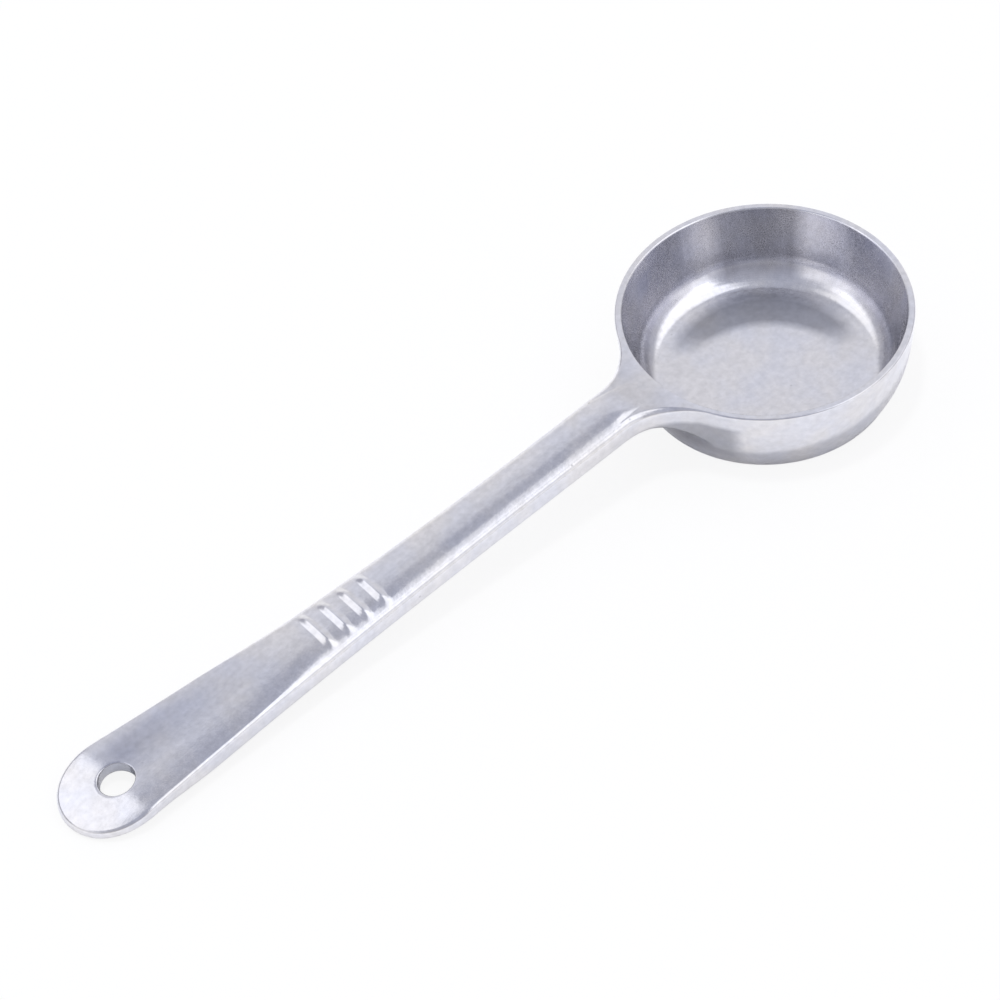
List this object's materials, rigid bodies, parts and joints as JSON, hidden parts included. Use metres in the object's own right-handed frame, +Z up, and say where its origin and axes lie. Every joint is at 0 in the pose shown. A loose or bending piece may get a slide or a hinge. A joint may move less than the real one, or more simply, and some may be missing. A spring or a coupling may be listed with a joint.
{
  "type": "serving ladle",
  "caption": "Cast aluminium serving ladle: a round flat-bottomed bowl on a long handle that widens to a rounded end with grip ribs and a hanging hole.",
  "frame": {"origin": "centre of the bowl's flat base, at table level", "axes": "+X from the bowl along the handle to its tip, +Z up out of the bowl's mouth"},
  "size_m": [0.2405, 0.07, 0.0221],
  "materials": {
    "cast_bowl": "cast and tumbled, bright satin",
    "cast_handle": "cast and tumbled, bright satin"
  },
  "bodies": {
    "root": {"bowl": "cast_bowl", "handle": "cast_handle"}
  },
  "joints": []
}
